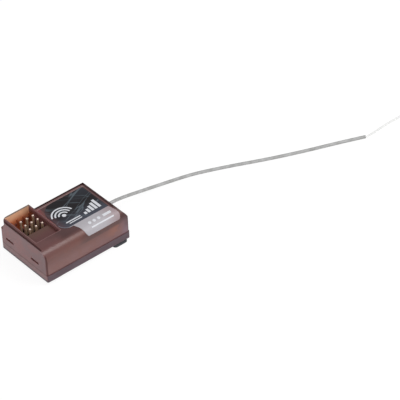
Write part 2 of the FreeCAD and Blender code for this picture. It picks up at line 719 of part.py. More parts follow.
def make_small_parts():
    """Small capacitors and resistors, as groups of separate solids, and the status lamp."""
    small = s.SmallWidth / 2 + s.PartGap / 2
    beside_lead = s.CableRadius + small
    last_x = board_right - s.SmallLength / 2 - s.PartGap / 2
    capacitors = [small_grid(0, 2), small_grid(1, 2), small_grid(2, 2),
                  (board_right - s.RegulatorEnd * 2, board_front + s.RegulatorFront),
                  (last_x, antenna_y + beside_lead),
                  (shield_x + s.ShieldLength / 2 + s.SmallLength, board_back - small)]
    resistors = [small_grid(column, row) for column in range(3) for row in range(2)]
    resistors.append((last_x, antenna_y - beside_lead))
    bevel = [("Chamfer", s.ResistorHeight / 6, upright)]
    rows = (("ceramic_capacitors", capacitors, s.CapacitorHeight),
            ("resistors", resistors, s.ResistorHeight))
    for name, places, height in rows:
        chips = [block_at(f"{name}_{n}", x, y, board_top, s.SmallLength, s.SmallWidth,
                          height, bevel) for n, (x, y) in enumerate(places, start=1)]
        node(name, group(f"{name}_group", chips))
    lamp_y = board_front + small
    carrier = box_at("lamp_carrier", chip_x, lamp_y, board_top, s.SmallLength, s.SmallWidth, s.LampBase)
    side = s.SmallWidth - s.LampRim * 2
    lens = block_at("lamp_lens", chip_x, lamp_y, board_top + s.LampBase, side, side, s.LensHeight,
                    [("Chamfer", s.LensHeight / 3, at_level(s.LensHeight))])
    node("status_lamp", fuse("lamp", carrier, lens))


def bent_path(points, shares=0.45):
    """Straight runs joined by tangent arcs, each as large as its two runs allow."""
    edges = []
    radii = []
    start = points[0]
    for before, corner, after in zip(points, points[1:], points[2:]):
        back = before - corner
        ahead = after - corner
        reach = shares * min(back.Length, ahead.Length)
        half_turn = (math.pi - back.getAngle(ahead)) / 2
        radii.append(reach / math.tan(half_turn))
        back.normalize()
        ahead.normalize()
        bend_in = corner + back * reach
        bend_out = corner + ahead * reach
        inward = back + ahead
        inward.normalize()
        depth = radii[-1] / math.cos(half_turn) - radii[-1]
        edges.append(Part.LineSegment(start, bend_in).toShape())
        edges.append(Part.Arc(bend_in, corner + inward * depth, bend_out).toShape())
        start = bend_out
    edges.append(Part.LineSegment(start, points[-1]).toShape())
    return Part.Wire(edges), radii


SECTION_FLATS = 12


def make_tube(name, points, radius):
    """Tube along a bent path, its round section drawn with flats, checked against section times length."""
    path, radii = bent_path(points)
    across = (points[1] - points[0]).cross(Vector(0, 0, 1)).normalize() * radius
    raised = across.cross(points[1] - points[0]).normalize() * radius
    turns = [2 * math.pi * (n % SECTION_FLATS) / SECTION_FLATS for n in range(SECTION_FLATS + 1)]
    corners = [points[0] + across * math.cos(turn) + raised * math.sin(turn) for turn in turns]
    ring = Part.makePolygon(corners)
    shape = path.makePipeShell([ring], True, False)
    section = SECTION_FLATS / 2 * math.sin(2 * math.pi / SECTION_FLATS) * radius ** 2
    expected = section * path.Length
    print(f"{name}: length {path.Length:.1f}, smallest radius {min(radii):.1f}, "
          f"volume {shape.Volume:.2f} of {expected:.2f}")
    if abs(shape.Volume / expected - 1) > 0.02:
        raise RuntimeError(f"{name} has the wrong volume")
    item = doc.addObject("Part::Feature", name)
    item.Shape = shape
    return item


def from_datum(x, y, z):
    """Point of the model for a point given from the housing's datum."""
    return Vector(x.value - s.CaseLength.value / 2, y.value - s.CaseWidth.value / 2,
                  z.value + s.TapeThick.value)


# Route of the antenna outside the housing, in the part's own frame.
JACKET_ROUTE = [(20.9, -0.45, 8.0), (25.1, 0.6, 6.5), (29.6, 1.5, 4.9), (34.8, 2.2, 3.2),
                (40.5, 2.5, 1.8), (46.4, 2.1, 0.9), (52.1, 1.0, 0.6), (57.6, -0.7, 0.6),
                (68.2, -5.3, 0.6), (79.8, -11.0, 0.6), (92.9, -16.7, 0.6), (107.7, -22.3, 0.6),
                (115.5, -25.6, 0.6)]
CORE_ROUTE = [(115.5, -25.6, 0.6), (117.45, -26.425, 0.6), (121.4, -26.9, 0.45), (127.4, -26.5, 0.35),
              (134.6, -26.5, 0.35), (141.0, -27.0, 0.35), (146.4, -27.9, 0.35)]


def make_antenna():
    """Clip on the board, inner lead, grommet in the end wall, jacketed cable and bare end."""
    clip_z = board_top + s.ClipHeight / 2
    clip_left = clip_x - s.ClipLength / 2
    block_of_clip = block_at("clip_block", clip_x, antenna_y, board_top, s.ClipLength, s.ClipWidth,
                             s.ClipHeight, [("Fillet", s.ClipHeight / 4, lambda edge: spans(edge, 0)
                                             and same(middle(edge).z, s.ClipHeight.value))])
    bore = rod("clip_bore", clip_left - OVER, antenna_y, clip_z, s.CableRadius,
               s.ClipLength + OVER * 2, ALONG_X)
    node("antenna_clip", cut("clip", block_of_clip, bore))

    flange = s.FlangeThick

    def ring(name, start, radius, length):
        return rod(name, start, antenna_y, s.AntennaZ, radius, length, ALONG_X)

    parts = [ring("grommet_sleeve", wall_in, s.SleeveRadius, s.ShellWall),
             ring("grommet_inner", wall_in - flange, s.FlangeRadius, flange),
             ring("grommet_outer", shell_right, s.FlangeRadius, flange)]
    through = ring("grommet_bore", wall_in - flange - OVER, s.CableRadius, s.ShellWall + (flange + OVER) * 2)
    node("antenna_grommet", cut("grommet", fuse("grommet_solid", *parts), through))

    exit_x = shell_right + flange
    inner = [from_datum(clip_left, antenna_y, clip_z),
             from_datum(clip_left + s.ClipLength + s.LeadRun, antenna_y, clip_z),
             from_datum(wall_in - flange - s.LeadRun, antenna_y, s.AntennaZ),
             from_datum(exit_x, antenna_y, s.AntennaZ)]
    node("antenna_inner_lead", make_tube("inner_lead", inner, s.CableRadius.value))
    start = [from_datum(exit_x, antenna_y, s.AntennaZ)]
    jacket = start + [Vector(*point) for point in JACKET_ROUTE]
    node("antenna_cable", make_tube("jacket", jacket, s.CableRadius.value))
    core = [Vector(*point) for point in CORE_ROUTE]
    node("antenna_bare_end", make_tube("core", core, s.CoreRadius.value))


def make_label():
    """Label film on the top, bent down over the front edge along its wide band."""
    film = s.LabelThick
    skin = rounded_form("label_skin", 0, shell_right + film, s.ShellInset - film, shell_back + film,
                        s.TrayHeight, s.CaseHeight + film, s.EdgeRadius + film, s.EndRadius + film,
                        s.CornerRadius)
    core = rounded_form("label_core", 0, shell_right, s.ShellInset, shell_back, s.TrayHeight - OVER,
                        s.CaseHeight, s.EdgeRadius, s.EndRadius, s.CornerRadius)
    body = new_body("label_plan")
    points = [(label_left, s.LabelStep), (band_left, s.LabelStep),
              (band_left + s.BandSlant, s.LabelFront), (label_right + s.EndSlant, s.LabelFront),
              (label_right, s.LabelStep), (label_right, label_back), (label_left, label_back)]
    pad(body, "label_pad", outline(body, "label_outline", points), above)

    def corner(x, y):
        return lambda edge: upright(edge) and same(middle(edge).x, x.value) and same(middle(edge).y, y.value)

    dress(body, "label_sweep", "Fillet", s.LabelSweep, corner(label_left, s.LabelStep))
    dress(body, "label_shoulder", "Fillet", s.LabelShoulder, corner(label_left, label_back))
    small = [(band_left + s.BandSlant, s.LabelFront), (label_right + s.EndSlant, s.LabelFront),
             (label_right, label_back)]
    dress(body, "label_corners", "Fillet", s.LabelCorner,
          lambda edge: any(corner(x, y)(edge) for x, y in small))
    place(body, 0, 0, 0)
    node("top_label", cut("label", common("label_film", skin, body), core))


def make_tape():
    """Two strips of foam tape across the underside."""
    rounds = [("Fillet", s.TapeCorner, upright)]
    tape_right = s.CaseLength - s.TapeEnd - s.TapeWidth
    node("foam_tape_antenna_end", block("tape_right", tape_right, 0, s.TapeThick * -1, s.TapeWidth,
                                        main_width, s.TapeThick, rounds))
    node("foam_tape_pin_end", block("tape_left", s.TapeLeft, s.TapeInset, s.TapeThick * -1,
                                    s.TapeWidth, s.CaseWidth - s.TapeInset * 2, s.TapeThick, rounds))


make_shell()
make_tray()
make_board()
pin_rows = make_pins()
make_headers(pin_rows)
make_solder(pin_rows)
make_radio()
make_processor()
make_power()
make_small_parts()
make_antenna()
make_label()
make_tape()
doc.recompute()

broken = [item.Name for item in doc.Objects if set(item.State) & {"Invalid", "Error"}]
if broken:
    raise RuntimeError(f"failed objects: {broken}")
os.makedirs("parts", exist_ok=True)
for item in NODES:
    shape = item.Shape
    if shape.isNull() or not shape.isValid():
        raise RuntimeError(f"{item.Label} has no valid shape")
    shape.exportStep(f"parts/{item.Label}.step")
    print(f"{item.Label}: {len(shape.Solids)} solids, {shape.Volume:.2f} mm3")
print(f"{len(NODES)} nodes")
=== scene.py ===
# %% [markdown]
# # A small radio control receiver
#
# The object is a smoked plastic box, 35 mm long, with an open pocket of gold pins at one end and a thin
# wire antenna at the other. A label covers most of its top. The sizes, pieces and places come from a
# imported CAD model, which is loaded first. Everything is in that model's own frame: objects are in
# metres, and finishes measure their places in millimetres.

# %% Load the model
import math

import bmesh
import bpy
import numpy as np
from mathutils import Matrix, Vector


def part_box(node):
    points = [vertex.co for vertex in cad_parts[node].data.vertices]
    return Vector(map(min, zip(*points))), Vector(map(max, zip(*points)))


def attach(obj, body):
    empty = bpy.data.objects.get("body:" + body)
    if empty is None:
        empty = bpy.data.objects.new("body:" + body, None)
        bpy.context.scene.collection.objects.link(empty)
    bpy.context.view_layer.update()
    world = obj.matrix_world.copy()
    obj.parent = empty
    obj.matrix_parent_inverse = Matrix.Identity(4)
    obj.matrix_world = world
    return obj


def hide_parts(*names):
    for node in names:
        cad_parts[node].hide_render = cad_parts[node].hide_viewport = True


MM = 0.001
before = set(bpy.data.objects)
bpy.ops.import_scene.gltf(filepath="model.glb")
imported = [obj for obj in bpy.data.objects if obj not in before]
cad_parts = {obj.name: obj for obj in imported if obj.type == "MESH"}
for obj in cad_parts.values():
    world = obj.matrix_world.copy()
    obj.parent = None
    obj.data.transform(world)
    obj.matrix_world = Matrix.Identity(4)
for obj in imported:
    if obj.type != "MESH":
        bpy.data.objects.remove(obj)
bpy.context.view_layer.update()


def add(name, data):
    """New object in the scene that shows the given data."""
    made = bpy.data.objects.new(name, data)
    bpy.context.scene.collection.objects.link(made)
    return made


# %% [markdown]
# ## Camera
#
# The photograph was taken from far away with a long lens, so parallel edges stay nearly parallel. The
# camera's place and angles were found from the edges of the box. They are set as angles, because
# these are easy to read: how far it is turned, how far it looks down, and a slight roll.

# %% Camera
CAMERA_PLACE = Vector((-304.85, -436.01, 444.07)) * MM
CAMERA_TURN = math.radians(-39.847)
CAMERA_DOWN = math.radians(38.815)
CAMERA_ROLL = math.radians(-1.767)
LENS = 184.69
SENSOR = 36

lens_data = bpy.data.cameras.new("camera")
lens_data.sensor_fit = "HORIZONTAL"
lens_data.sensor_width = SENSOR
lens_data.lens = LENS
lens_data.clip_start = 10 * MM
camera = add("camera", lens_data)
look = Matrix.Rotation(CAMERA_TURN, 4, "Z") @ Matrix.Rotation(math.pi / 2 - CAMERA_DOWN, 4, "X")
camera.matrix_world = Matrix.Translation(CAMERA_PLACE) @ look @ Matrix.Rotation(CAMERA_ROLL, 4, "Z")
bpy.context.scene.camera = camera
print("camera looks along", [round(x, 3) for x in camera.matrix_world.to_3x3() @ Vector((0, 0, -1))])

# %% [markdown]
# ## Antenna
#
# The antenna is a soft coaxial cable 1.2 mm thick. It comes straight out of the end wall, sinks to the
# table and lies there in loose bends. Its last stretch has the outer jacket stripped off. A NURBS
# curve suits such a thing: it is smooth everywhere, and a round bevel gives it its thickness. Blender
# adds a point's radius to the curve's box, so the radius holds half the cord's thickness, and the
# bevel's depth is 1.

# %% Antenna cable and its bare end
CABLE_THICK = 1.2 * MM
CORE_THICK = 0.7 * MM
STEPS_ALONG = 16
STEPS_AROUND = 7
JACKET_ROUTE = np.array([(20.9, -0.45, 8.0), (25.1, 0.6, 6.5), (29.6, 1.5, 4.9), (34.8, 2.2, 3.2),
                         (40.5, 2.5, 1.8), (46.4, 2.1, 0.9), (52.1, 1.0, 0.6), (57.6, -0.7, 0.6),
                         (68.2, -5.3, 0.6), (79.8, -11.0, 0.6), (92.9, -16.7, 0.6),
                         (107.7, -22.3, 0.6), (115.5, -25.6, 0.6)]) * MM
CORE_ROUTE = np.array([(115.5, -25.6, 0.6), (116.5, -26.02, 0.6), (119.0, -25.8, 0.5),
                       (126.0, -25.2, 0.35), (134.0, -25.1, 0.35), (141.2, -26.2, 0.35),
                       (146.3, -27.87, 0.35)]) * MM
grommet_low, grommet_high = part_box("antenna_grommet")
exit_point = Vector((grommet_high.x, (grommet_low.y + grommet_high.y) / 2,
                     (grommet_low.z + grommet_high.z) / 2))


def cord_curve(name, route, thick):
    """Smooth open curve with the route's points as control points, thickened to a round cord."""
    curve = bpy.data.curves.new(name, "CURVE")
    curve.dimensions = "3D"
    spline = curve.splines.new("NURBS")
    spline.points.add(len(route) - 1)
    spline.points.foreach_set("co", np.c_[route, np.ones(len(route))].ravel())
    spline.points.foreach_set("radius", np.full(len(route), thick / 2))
    spline.order_u = 3
    spline.use_endpoint_u = True
    spline.resolution_u = STEPS_ALONG
    curve.bevel_depth = 1
    curve.bevel_resolution = STEPS_AROUND
    curve.use_fill_caps = True
    piece = add(name, curve)
    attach(piece, "root")
    return piece


cable = cord_curve("antenna_jacket", np.vstack([exit_point[:], JACKET_ROUTE]), CABLE_THICK)
core = cord_curve("antenna_core", CORE_ROUTE, CORE_THICK)
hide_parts("antenna_cable")
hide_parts("antenna_bare_end")
print("antenna leaves the end wall at", [round(x, 4) for x in exit_point])

# %% [markdown]
# ## A small language for materials
#
# Shader nodes are easier to read as arithmetic. `Signal` wraps one output of a node, so that
# `1 - mask * 0.5` adds the Math nodes for it. `Finish` makes a material and adds any other node with one
# method, so that each finish below reads as a few lines.

# %% Signals
class Signal:
    """One varying number of a material. Arithmetic on it adds Math nodes."""

    def __init__(self, finish, socket):
        self.finish = finish
        self.socket = socket

    def math(self, operation, first, second):
        return self.finish.node("ShaderNodeMath", {"operation": operation}, [first, second])

    def __add__(self, other):
        return self.math("ADD", self, other)

    def __rsub__(self, other):
        return self.math("SUBTRACT", other, self)

    def __mul__(self, other):
        return self.math("MULTIPLY", self, other)

    def above(self, edge, soft):
        """0 below the edge, 1 above it, with a smooth ramp of the given width in between."""
        return self.finish.node("ShaderNodeMapRange", {"interpolation_type": "SMOOTHSTEP"},
                                [self, edge - soft / 2, edge + soft / 2, 0.0, 1.0])

    def within(self, low, high, soft):
        """1 between two edges and 0 outside them."""
        return self.above(low, soft) * (1 - self.above(high, soft))

    __radd__ = __add__
    __rmul__ = __mul__


print("signals ready")

# %% [markdown]
# Colours are written as screen colours, with two hexadecimal digits each for red, green and blue, and
# are turned into the linear ones that Blender mixes. A material's x, y and z are the piece's own
# coordinates in millimetres.

# %% Finishes
BLACK = (0, 0, 0, 1)
WHITE = (1, 1, 1, 1)


def srgb(code):
    """Linear colour of a hexadecimal screen colour."""
    parts = np.array([int(code[n:n + 2], 16) for n in (0, 2, 4)]) / 255
    return (*np.where(parts <= 0.04045, parts / 12.92, ((parts + 0.055) / 1.055) ** 2.4), 1)


class Finish:
    """A material with one Principled surface."""

    def __init__(self, name, **constants):
        self.material = bpy.data.materials.new(name)
        self.material.use_nodes = True
        self.tree = self.material.node_tree
        self.surface = self.tree.nodes["Principled BSDF"]
        self.finish(**constants)
        self.where = self.node("ShaderNodeTexCoord", output="Object")
        self.place = self.node("ShaderNodeVectorMath", {"operation": "SCALE"},
                               {"Vector": self.where, "Scale": 1 / MM})
        axes = self.node("ShaderNodeSeparateXYZ", values=[self.place]).socket.node.outputs
        self.x, self.y, self.z = (Signal(self, axes[axis]) for axis in "XYZ")

    def feed(self, socket, value):
        """Joins a signal to an input, or sets the input to a plain value."""
        if isinstance(value, Signal):
            self.tree.links.new(value.socket, socket)
        else:
            socket.default_value = value

    def node(self, kind, settings=(), values=(), output=0):
        """Adds a node: its settings first, then the value or link of each input, by order or by name."""
        made = self.tree.nodes.new(kind)
        for name, value in dict(settings).items():
            setattr(made, name, value)
        for key, value in values.items() if isinstance(values, dict) else enumerate(values):
            self.feed(made.inputs[key], value)
        return Signal(self, made.outputs[output])

    def noise(self, scale, detail=2.0, stretch=(1, 1, 1), turn=0):
        """Cloudy noise: scale clouds to a metre, drawn out along axes that are turned about Z in degrees."""
        place = self.node("ShaderNodeMapping", {"vector_type": "TEXTURE"},
                          {"Vector": self.where, "Rotation": (0, 0, math.radians(turn)), "Scale": stretch})
        return self.node("ShaderNodeTexNoise", {}, {"Vector": place, "Scale": scale, "Detail": detail})

    def blend(self, factor, first, second):
        """Colour between two colours, by a factor from 0 to 1."""
        return self.node("ShaderNodeMix", {"data_type": "RGBA"}, {0: factor, 6: first, 7: second}, output=2)

    def layers(self, base, *coats):
        """Colours laid over each other: each coat is a mask, its strength and a screen colour."""
        for mask, strength, code in coats:
            base = self.blend(mask * strength, base, srgb(code))
        return base

    def bump(self, height, strength, depth):
        """Small relief in the surface, of the given depth in millimetres."""
        return self.node("ShaderNodeBump", {},
                         {"Height": height, "Strength": strength, "Distance": depth * MM})

    def cover(self, mask, code):
        """Lays a second, matt surface of one screen colour over the first, where the mask is 1."""
        matt = self.node("ShaderNodeBsdfPrincipled", {},
                         {"Base Color": srgb(code), "Specular IOR Level": 0, "Roughness": 0.6})
        both = self.node("ShaderNodeMixShader", {}, [mask, Signal(self, self.surface.outputs[0]), matt])
        self.feed(self.tree.nodes["Material Output"].inputs["Surface"], both)

    def finish(self, **inputs):
        """Joins signals or plain values to the surface's inputs, and returns the material."""
        for name, value in inputs.items():
            self.feed(self.surface.inputs[name.replace("_", " ")], value)
        return self.material


def speckled(name, first, second, scale, least, spread, detail=2.0, relief=None, **constants):
    """Material with one noise in it. It runs between two screen colours, roughens the surface from the
    least value by the spread, and lifts it where a relief is given as its strength and depth."""
    made = Finish(name, **constants)
    noise = made.noise(scale, detail)
    if relief:
        made.finish(Normal=made.bump(noise, *relief))
    return made.finish(Base_Color=made.blend(noise, srgb(first), srgb(second)),
                       Roughness=noise * spread + least)


print("finishes ready")

# %% [markdown]
# ## Moulded and painted pieces
#
# The model's solids arrive as loose triangles with hard edges. Moulded plastic has soft edges that catch the
# light. So each moulded piece is copied, its triangles are merged into whole faces, and a Bevel
# modifier rounds its sharp edges by a tenth of a millimetre. Weighted normals keep the flat faces flat.
# The other pieces keep their own mesh and only take a finish.

# %% Moulded and painted pieces
SAME_POINT = 0.002 * MM
SAME_FACE = math.radians(1)
SHARP = math.radians(35)


def moulded(node, name, finish, edge):
    """Copy of a solid with merged faces, soft edges and a finish of its own, in place of the solid."""
    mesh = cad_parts[node].data.copy()
    work = bmesh.new()
    work.from_mesh(mesh)
    bmesh.ops.remove_doubles(work, verts=work.verts, dist=SAME_POINT)
    bmesh.ops.dissolve_limit(work, angle_limit=SAME_FACE, verts=work.verts, edges=work.edges)
    work.to_mesh(mesh)
    work.free()
    mesh.polygons.foreach_set("use_smooth", np.ones(len(mesh.polygons), bool))
    mesh.set_sharp_from_angle(angle=SHARP)
    mesh.materials.clear()
    mesh.materials.append(finish)
    piece = add(name, mesh)
    if edge:
        bevel = piece.modifiers.new("soft edges", "BEVEL")
        bevel.width = edge
        bevel.segments = 2
        bevel.limit_method = "ANGLE"
        bevel.angle_limit = SHARP
        bevel.use_clamp_overlap = True
    piece.modifiers.new("flat faces", "WEIGHTED_NORMAL").keep_sharp = True
    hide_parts(node)
    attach(piece, "root")
    return piece


def painted(finish, *nodes):
    """Gives a finish to solids that keep their own mesh."""
    for node in nodes:
        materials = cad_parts[node].data.materials
        materials.clear()
        materials.append(finish)


print("pieces can be moulded and painted")

# %% [markdown]
# ## Smoked shell
#
# The shell is clear plastic with a red-brown smoke in it. The light that goes through it is painted into its
# colour as light and shade: warm on the front, dark on the flat top over the electronics, nearly black where
# a thick edge is seen along its length, and a painted amber glow on the thin wall behind the pins. A
# Principled surface lets some of the light through, and masks from the piece's own coordinates place these
# tones.

# %% Smoked plastic
smoked = Finish("smoked_plastic", IOR=1.49, Specular_IOR_Level=0.4, Transmission_Weight=0.18,
                Emission_Strength=1.0)
x, y, z = smoked.x, smoked.y, smoked.z
clouds = smoked.noise(190)
drift = smoked.noise(110, stretch=(3, 3, 1)).above(0.5, 0.3)
patchy = smoked.noise(330, stretch=(1, 1.6, 1)).above(0.5, 0.25)
ripple = smoked.noise(1100, 1.0)
print("smoked plastic begun")

# %% [markdown]
# Each mask below is 1 on one region of the shell and 0 elsewhere. Its limits are the shell's own sizes in
# millimetres, and its last number is the width of its soft edge. Masks that belong to one wall or one
# fillet fade out before the next. The first ones lie in the pocket, round it and beside the label.

# %% Regions of the pocket and the top
CRISP = 0.04
NARROW = 0.1
END_FACE = -17.35
POCKET_X = (-15.95, -6.15)
POCKET_Y = (-5.55, 11.35)
RIM_X = (-16.3, -5.8)
RIM_Y = (-5.9, 11.6)

top = z.above(13.1, 0.8)
# mouth marks the pocket; in the tones below its walls are painted lighter against the shade inside the well
mouth = x.within(*POCKET_X, CRISP) * y.within(*POCKET_Y, CRISP)
shelf = mouth * z.within(11.9, 12.3, 0.05)
by_pins = shelf * y.above(-1.5, 4)
beside_shelf = x.within(-8.5, 0.5, 4)
# painted shade low at the back of the pocket, where the glow is also dimmer
low_back_shade = mouth * y.within(8.8, 11.25, 0.05) * (1 - z.above(11.6, 1.2))
thin_wall = y.within(11.2, 11.42, CRISP) * x.within(-16.2, -6.3, NARROW)
high_wall = z.above(11.4, 3)
glow = thin_wall * z.above(9.2, 1)
to_left = 1 - x.above(-9.5, 5) * 0.8
past_rim = x.above(RIM_X[1], NARROW)
# painted highlight: a thin pale line round the pocket's rim
rim_highlight = x.within(*RIM_X, CRISP) * y.within(*RIM_Y, CRISP) * (1 - mouth)
rim_back = y.above(POCKET_Y[1], 0.05) * (1 - past_rim) * z.above(12.6, 0.6)
notch = x.within(-6.1, -4.6, 0.4) * y.above(-3, 2) * top
past_notch = x.above(-5.6, NARROW)
behind_label = y.above(7.6, 0.15) * past_notch * z.above(10, 3)
beyond_label = x.above(13.4, 0.3) * z.above(9, 2)
# painted highlight: a pale line where the back fillet begins
back_fillet_highlight = y.within(7.42, 7.75, NARROW) * past_notch * top
print("regions of the pocket and the top placed")

# %% [markdown]
# The next ones lie on the walls, and last come the outer edges. The fillets begin at y = 7.45 and
# x = 12.75, and painted shade is darkest on them, where the eye looks along the wall.

# %% Regions of the walls and the outer edges
pin_end = 1 - x.above(END_FACE, NARROW)
front = 1 - y.above(-11.2, 1)
low_front = 1 - z.above(8, 4)
# painted shadow on the front under the silver band
band_shadow = z.within(9.2, 12, 0.8) * x.above(-2, 5) * front
# painted glow: warm orange spots low on the front near the antenna end
warm_glow_spots = x.above(9, 6) * z.within(6, 9.4, 2) * front
far_front = x.above(14.5, 3) * (1 - z.above(10, 3))
right_front = x.above(15, 3) * z.above(7, 3) * (1 - y.above(-8, 6))
seam = z.within(3.8, 4.35, 0.2)
# painted shade along the outer edges, where a thick edge is seen along its length
back_edge_shade = y.above(8.45, 0.4) * z.above(11.2, 1.4) * past_rim
right_edge_shade = x.above(14.3, 0.6) * z.above(10.7, 1.6) * (y.above(-8.5, 4) * 0.65 + 0.2)
right_corner_shade = x.above(16.85, 0.2) * (1 - y.above(-11.9, 0.3))
pin_edge_shade = (1 - x.above(-16.95, NARROW)) * z.above(13.2, NARROW)
front_corner_shade = x.within(-17.42, -16.9, NARROW) * (1 - y.above(-11.5, 0.5))
print("regions of the walls and the outer edges placed")

# %% [markdown]
# The tones are then laid over each other like washes of paint: first on each wall, then on the whole
# shell. Each wash is a mask, its strength and its colour. Most of them are painted light and shade.

# %% Tones of the shell
# painted light and shade on the front: paler towards the bottom, darker under the band, warm glow spots near
# the antenna end, and there a paler patch low down and a darker one higher up
front_tone = smoked.layers(
    smoked.blend(low_front, srgb("7d5550"), srgb("8e6663")),
    (drift, 0.35, "775760"), (patchy, 0.25, "885549"), (band_shadow, 0.65, "59413f"),
    (warm_glow_spots * patchy, 0.5, "a86a55"), (far_front, 0.6, "8c7280"), (right_front, 0.6, "573f42"))
# painted reflection: the end wall is a greyer mauve, lighter towards the back
end_tone = smoked.layers(
    smoked.blend(y.above(-2, 14), srgb("80595c"), srgb("916264")),
    (patchy, 0.5, "9c5d5b"), (clouds.above(0.55, 0.2), 0.5, "826366"))
# painted shade: the flat top is darker than the walls, and darker still beside the shelf; behind the label
# and at the antenna end it is paler
top_tone = smoked.layers(
    srgb("734c4b"), (clouds.above(0.5, 0.3), 0.6, "61403f"), (beside_shelf, 0.6, "4c3334"),
    (behind_label, 0.7, "825f5d"), (beyond_label, 0.8, "694b4c"))
walls_tone = smoked.blend(pin_end, front_tone, end_tone)
tone = smoked.layers(
    smoked.blend(top, walls_tone, top_tone), (behind_label * (1 - top), 0.7, "7a5857"),
    (mouth, 0.85, "8e5c5e"), (shelf, 1.0, "6a4140"), (by_pins, 0.4, "695541"),
    (notch, 0.7, "84504c"), (notch * patchy, 0.6, "8e4248"),
    (notch * clouds.above(0.55, 0.1), 0.5, "7c7669"), (rim_highlight * top, 0.7, "a87f80"),
    (back_fillet_highlight, 0.7, "b79a97"), (rim_back, 0.7, "94806f"), (seam, 0.6, "5e302f"), (low_back_shade, 0.85, "7f4023"))
# painted glow in the base colour of the thin wall, brighter higher up
tone = smoked.blend(glow, tone, smoked.blend(high_wall, srgb("b56c48"), srgb("d8a582")))
print("tones of the shell laid")

# %% [markdown]
# The thin wall behind the pins also gives off a little light of its own: a painted glow that stands for the
# daylight which shines through the real one. Last, a matt dark cover of painted shade goes over the outer
# edges, where so much plastic lies in line that no light comes back.

# %% Smoked shell
amber = smoked.blend(high_wall, srgb("6e3b24"), srgb("97725a"))
lit = smoked.blend(glow * to_left * (patchy * 0.4 + 0.65), BLACK, amber)
# painted shade: less glow low at the back of the pocket
lit = smoked.blend(low_back_shade * to_left * 0.3, lit, srgb("6c3318"))
# painted shade: a matt dark cover over the outer edges
bare = 1.0
for edge_shade, strength in ((back_edge_shade, 0.95), (right_edge_shade, 1.0), (right_corner_shade, 0.75), (pin_edge_shade, 0.75),
                            (front_corner_shade, 0.5)):
    bare = bare * (1 - edge_shade * strength)
smoked.cover(1 - bare, "351d1e")
shell_finish = smoked.finish(Base_Color=tone, Emission_Color=lit, Normal=smoked.bump(ripple, 0.05, 0.01),
                             Roughness=clouds * 0.06 + 0.265 + x.above(-6, 10) * 0.07)
shell = moulded("upper_shell", "shell", shell_finish, 0.12 * MM)
print("shell faces", len(shell.data.polygons))

# %% [markdown]
# ## Tray
#
# The lower tray is the same plastic with more smoke in it, or it looks so because it is thick and stands
# on the dark foam tape. It has a slow change of tone and the faint ripple of a moulded surface, a dark seam
# line, and painted light: a paler end wall and a brightened upper band.

# %% Tray
dark = Finish("smoked_tray", IOR=1.49, Specular_IOR_Level=0.35, Transmission_Weight=0.1)
slow = dark.noise(260, stretch=(2, 2, 1)).above(0.5, 0.4)
# painted reflection: the tray's end wall is paler
tray_end = (1 - dark.x.above(END_FACE, NARROW)) * dark.z.above(2.1, 0.6)
tray_seam = dark.z.above(3.85, 0.2)
# painted light: the upper band is brightened against the shade it sits in
lit_hooks = dark.z.above(5.8, 0.4)
dark_tone = dark.layers(srgb("614d56"), (slow, 0.6, "533f47"), (tray_end, 1.0, "90696a"),
                        (tray_seam, 0.6, "5a302f"), (lit_hooks, 1.0, "c05a52"))
tray_finish = dark.finish(Base_Color=dark_tone, Roughness=slow * 0.1 + 0.29,
                          Normal=dark.bump(dark.noise(1100, 1.0), 0.1, 0.01))
tray = moulded("base_tray", "tray", tray_finish, 0.1 * MM)
print("tray faces", len(tray.data.polygons))

# %% [markdown]
# ## Pins and headers
#
# The servo pins are gold over brass, with a painted highlight that pales their upper ends. Their dark
# header blocks sit deep in the pocket.

# %% Pins and headers
gold = Finish("pin_gold", Metallic=0.5)
# painted highlight: the upper ends of the pins turn nearly white
tip_highlight = gold.z.above(12.6, 0.9)
rub = gold.noise(2600, stretch=(1, 1, 5))
gold_tone = gold.layers(srgb("c4a68c"), (rub.above(0.5, 0.3), 0.5, "9c7f62"), (tip_highlight, 0.7, "f4dfd6"))
painted(gold.finish(Base_Color=gold_tone, Roughness=rub * 0.2 + 0.32),
        "negative_pins", "positive_pins", "signal_pins")
painted(speckled("header_plastic", "43372d", "594a3b", 3500, 0.45, 0.2, relief=(0.2, 0.01)),
        "channel_header_1", "channel_header_2", "channel_header_3", "capacitor_base")
print("pins and headers finished")

# %% [markdown]
# ## Electronics
#
# The board and its parts show dimly through the smoked top and more clearly through the pocket. Each gets
# the finish that such a part has: green mask with paler tracks, tinned sheet, black epoxy, fired ceramic.

# %% Board and its parts
green = Finish("solder_mask", Coat_Weight=0.3)
tracks = green.noise(900, 0.0, stretch=(1, 8, 1)).within(0.47, 0.53, 0.01)
painted(green.finish(Base_Color=green.blend(tracks, srgb("21452b"), srgb("2f6038")),
                     Roughness=green.noise(800) * 0.2 + 0.3), "circuit_board")
painted(speckled("tinned_metal", "c9c7c0", "8f8d86", 1100, 0.2, 0.35, detail=3.0, relief=(0.15, 0.02),
                 Metallic=1.0),
        "pin_solder", "radio_shield", "capacitor_can", "crystal", "antenna_clip")
painted(speckled("chip_epoxy", "17171a", "2b2b2e", 5200, 0.45, 0.2, relief=(0.2, 0.01)),
        "radio_chip", "processor", "voltage_regulator", "filter_coil", "resistors")
painted(speckled("fired_ceramic", "b58f66", "94704c", 1700, 0.35, 0.3, detail=1.0), "ceramic_capacitors")
painted(speckled("lamp_lens", "c8301c", "a01f18", 2500, 0.15, 0.2, Coat_Weight=0.6), "status_lamp")
print("electronics finished")

# %% [markdown]
# ## Antenna finishes
#
# The cable's jacket is a matt grey plastic that has picked up faint marks along its length. The bare end
# is the white core, and the grommet is black rubber.

